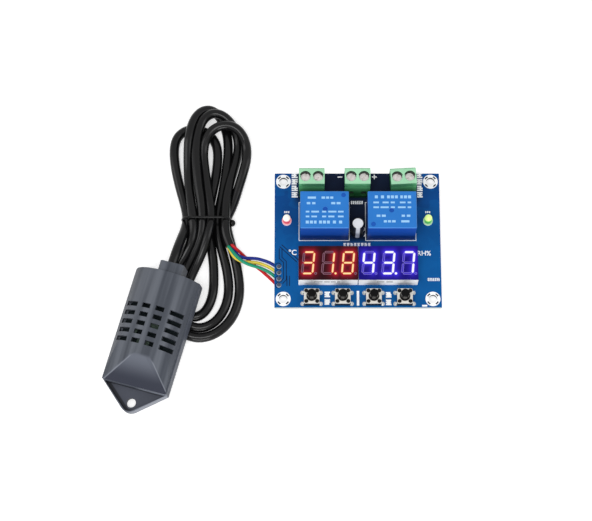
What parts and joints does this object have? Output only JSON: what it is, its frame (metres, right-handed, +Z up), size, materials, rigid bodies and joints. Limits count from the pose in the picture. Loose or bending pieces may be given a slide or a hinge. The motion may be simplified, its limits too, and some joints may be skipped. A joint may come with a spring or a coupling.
{
  "type": "temperature humidity controller module",
  "caption": "Bare circuit-board thermostat and humidistat with relays, numeric displays, push buttons and screw terminals, wired by a bundled lead to a vented sensor probe.",
  "frame": {"origin": "centre of the four mounting holes, on the circuit board's underside", "axes": "+X to the right along the displays, +Y away from the buttons towards the screw terminals, +Z up through the board"},
  "size_m": [0.1329, 0.1271, 0.019],
  "materials": {
    "pcb_blue": "glossy blue solder mask on glass-fibre laminate",
    "pad_tin": "tinned copper, satin",
    "relay_blue": "smooth mid-blue moulded plastic",
    "relay_base": "dark sealing plate",
    "lead_tin": "tinned copper leads",
    "display_white": "white moulded housing",
    "face_red": "dark maroon tinted face",
    "face_blue": "deep blue-violet tinted face",
    "glow_amber": "lit amber-white strokes",
    "glow_white": "lit white-blue strokes",
    "unlit_mauve": "unlit greyish-mauve strokes",
    "unlit_lavender": "unlit lavender strokes",
    "button_black": "black moulded plastic",
    "button_steel": "stamped tinned steel cover",
    "terminal_green": "light green moulded plastic",
    "terminal_metal": "nickel-plated screw",
    "cage_metal": "nickel-plated pressed cage",
    "lamp_red": "lit red diffused lens",
    "lamp_green": "lit green diffused lens",
    "can_aluminium": "bright aluminium can",
    "sleeve_black": "black shrunk sleeve with a pale stripe",
    "solder": "bright solder",
    "chip_black": "black moulded chip packages",
    "passive_tan": "tan chip resistors and capacitors",
    "probe_grey": "satin charcoal moulded plastic",
    "probe_board": "green solder mask",
    "sensor_white": "white sensing element and small parts",
    "lead_black": "black sheathed lead",
    "tie_black": "black plastic-coated tie",
    "core_red": "red core insulation",
    "core_blue": "blue core insulation",
    "core_yellow": "yellow core insulation",
    "core_green": "green core insulation"
  },
  "bodies": {
    "root": {"circuit_board": "pcb_blue", "hole_plating": "pad_tin", "relay_left_case": "relay_blue", "relay_right_case": "relay_blue", "relay_bases": "relay_base", "component_leads": "lead_tin", "display_left_housing": "display_white", "display_right_housing": "display_white", "display_left_face": "face_red", "display_right_face": "face_blue", "display_left_lit_strokes": "glow_amber", "display_right_lit_strokes": "glow_white", "display_left_unlit_strokes": "unlit_mauve", "display_right_unlit_strokes": "unlit_lavender", "button_bases": "button_black", "button_covers": "button_steel", "button_legs": "lead_tin", "terminal_left_housing": "terminal_green", "terminal_middle_housing": "terminal_green", "terminal_right_housing": "terminal_green", "terminal_pins": "lead_tin", "led_red": "lamp_red", "led_green": "lamp_green", "capacitor_can": "can_aluminium", "capacitor_sleeve": "sleeve_black", "solder_joints": "solder", "sensor_joints": "solder", "mcu_chip": "chip_black", "driver_chip": "chip_black", "chip_leads": "lead_tin", "power_parts": "chip_black", "chip_passives": "passive_tan", "probe_front_cover": "probe_grey", "probe_back_shell": "probe_grey", "probe_sensor_board": "probe_board", "probe_sensor_parts": "sensor_white", "lead_start": "lead_black", "lead_hank": "lead_black", "lead_end": "lead_black", "cable_tie": "tie_black", "core_red": "core_red", "core_blue": "core_blue", "core_yellow": "core_yellow", "core_green": "core_green"},
    "button_1": {"button_1_stem": "button_black"},
    "button_2": {"button_2_stem": "button_black"},
    "button_3": {"button_3_stem": "button_black"},
    "button_4": {"button_4_stem": "button_black"},
    "left_screw_body_1": {"left_screw_1": "terminal_metal"},
    "left_cage_body_1": {"left_cage_1": "cage_metal"},
    "left_screw_body_2": {"left_screw_2": "terminal_metal"},
    "left_cage_body_2": {"left_cage_2": "cage_metal"},
    "middle_screw_body_1": {"middle_screw_1": "terminal_metal"},
    "middle_cage_body_1": {"middle_cage_1": "cage_metal"},
    "middle_screw_body_2": {"middle_screw_2": "terminal_metal"},
    "middle_cage_body_2": {"middle_cage_2": "cage_metal"},
    "right_screw_body_1": {"right_screw_1": "terminal_metal"},
    "right_cage_body_1": {"right_cage_1": "cage_metal"},
    "right_screw_body_2": {"right_screw_2": "terminal_metal"},
    "right_cage_body_2": {"right_cage_2": "cage_metal"}
  },
  "joints": [
    {"name": "press_button_1", "type": "slide", "parent": "root", "child": "button_1", "axis": [0, 0, -1], "range_m": [0, 0.00025], "stiffness_N_per_m": 2000, "springref_m": -0.0005},
    {"name": "press_button_2", "type": "slide", "parent": "root", "child": "button_2", "axis": [0, 0, -1], "range_m": [0, 0.00025], "stiffness_N_per_m": 2000, "springref_m": -0.0005},
    {"name": "press_button_3", "type": "slide", "parent": "root", "child": "button_3", "axis": [0, 0, -1], "range_m": [0, 0.00025], "stiffness_N_per_m": 2000, "springref_m": -0.0005},
    {"name": "press_button_4", "type": "slide", "parent": "root", "child": "button_4", "axis": [0, 0, -1], "range_m": [0, 0.00025], "stiffness_N_per_m": 2000, "springref_m": -0.0005},
    {"name": "turn_left_screw_1", "type": "hinge", "parent": "root", "child": "left_screw_body_1", "pos_m": [-0.02074, 0.02315, 0.0096], "axis": [0, 0, 1], "range_deg": [-1080, 0]},
    {"name": "lift_left_cage_1", "type": "slide", "parent": "root", "child": "left_cage_body_1", "axis": [0, 0, 1], "range_m": [0, 0.0015]},
    {"name": "turn_left_screw_2", "type": "hinge", "parent": "root", "child": "left_screw_body_2", "pos_m": [-0.01566, 0.02315, 0.0096], "axis": [0, 0, 1], "range_deg": [-1080, 0]},
    {"name": "lift_left_cage_2", "type": "slide", "parent": "root", "child": "left_cage_body_2", "axis": [0, 0, 1], "range_m": [0, 0.0015]},
    {"name": "turn_middle_screw_1", "type": "hinge", "parent": "root", "child": "middle_screw_body_1", "pos_m": [-0.00254, 0.02315, 0.0096], "axis": [0, 0, 1], "range_deg": [-1080, 0]},
    {"name": "lift_middle_cage_1", "type": "slide", "parent": "root", "child": "middle_cage_body_1", "axis": [0, 0, 1], "range_m": [0, 0.0015]},
    {"name": "turn_middle_screw_2", "type": "hinge", "parent": "root", "child": "middle_screw_body_2", "pos_m": [0.00254, 0.02315, 0.0096], "axis": [0, 0, 1], "range_deg": [-1080, 0]},
    {"name": "lift_middle_cage_2", "type": "slide", "parent": "root", "child": "middle_cage_body_2", "axis": [0, 0, 1], "range_m": [0, 0.0015]},
    {"name": "turn_right_screw_1", "type": "hinge", "parent": "root", "child": "right_screw_body_1", "pos_m": [0.01566, 0.02301, 0.0096], "axis": [0, 0, 1], "range_deg": [-1080, 0]},
    {"name": "lift_right_cage_1", "type": "slide", "parent": "root", "child": "right_cage_body_1", "axis": [0, 0, 1], "range_m": [0, 0.0015]},
    {"name": "turn_right_screw_2", "type": "hinge", "parent": "root", "child": "right_screw_body_2", "pos_m": [0.02074, 0.02329, 0.0096], "axis": [0, 0, 1], "range_deg": [-1080, 0]},
    {"name": "lift_right_cage_2", "type": "slide", "parent": "root", "child": "right_cage_body_2", "axis": [0, 0, 1], "range_m": [0, 0.0015]}
  ],
  "couplings": [
    {"joint": "turn_left_screw_1", "follows": "lift_left_cage_1", "rad_per_m": -12566},
    {"joint": "turn_left_screw_2", "follows": "lift_left_cage_2", "rad_per_m": -12566},
    {"joint": "turn_middle_screw_1", "follows": "lift_middle_cage_1", "rad_per_m": -12566},
    {"joint": "turn_middle_screw_2", "follows": "lift_middle_cage_2", "rad_per_m": -12566},
    {"joint": "turn_right_screw_1", "follows": "lift_right_cage_1", "rad_per_m": -12566},
    {"joint": "turn_right_screw_2", "follows": "lift_right_cage_2", "rad_per_m": -12566}
  ]
}
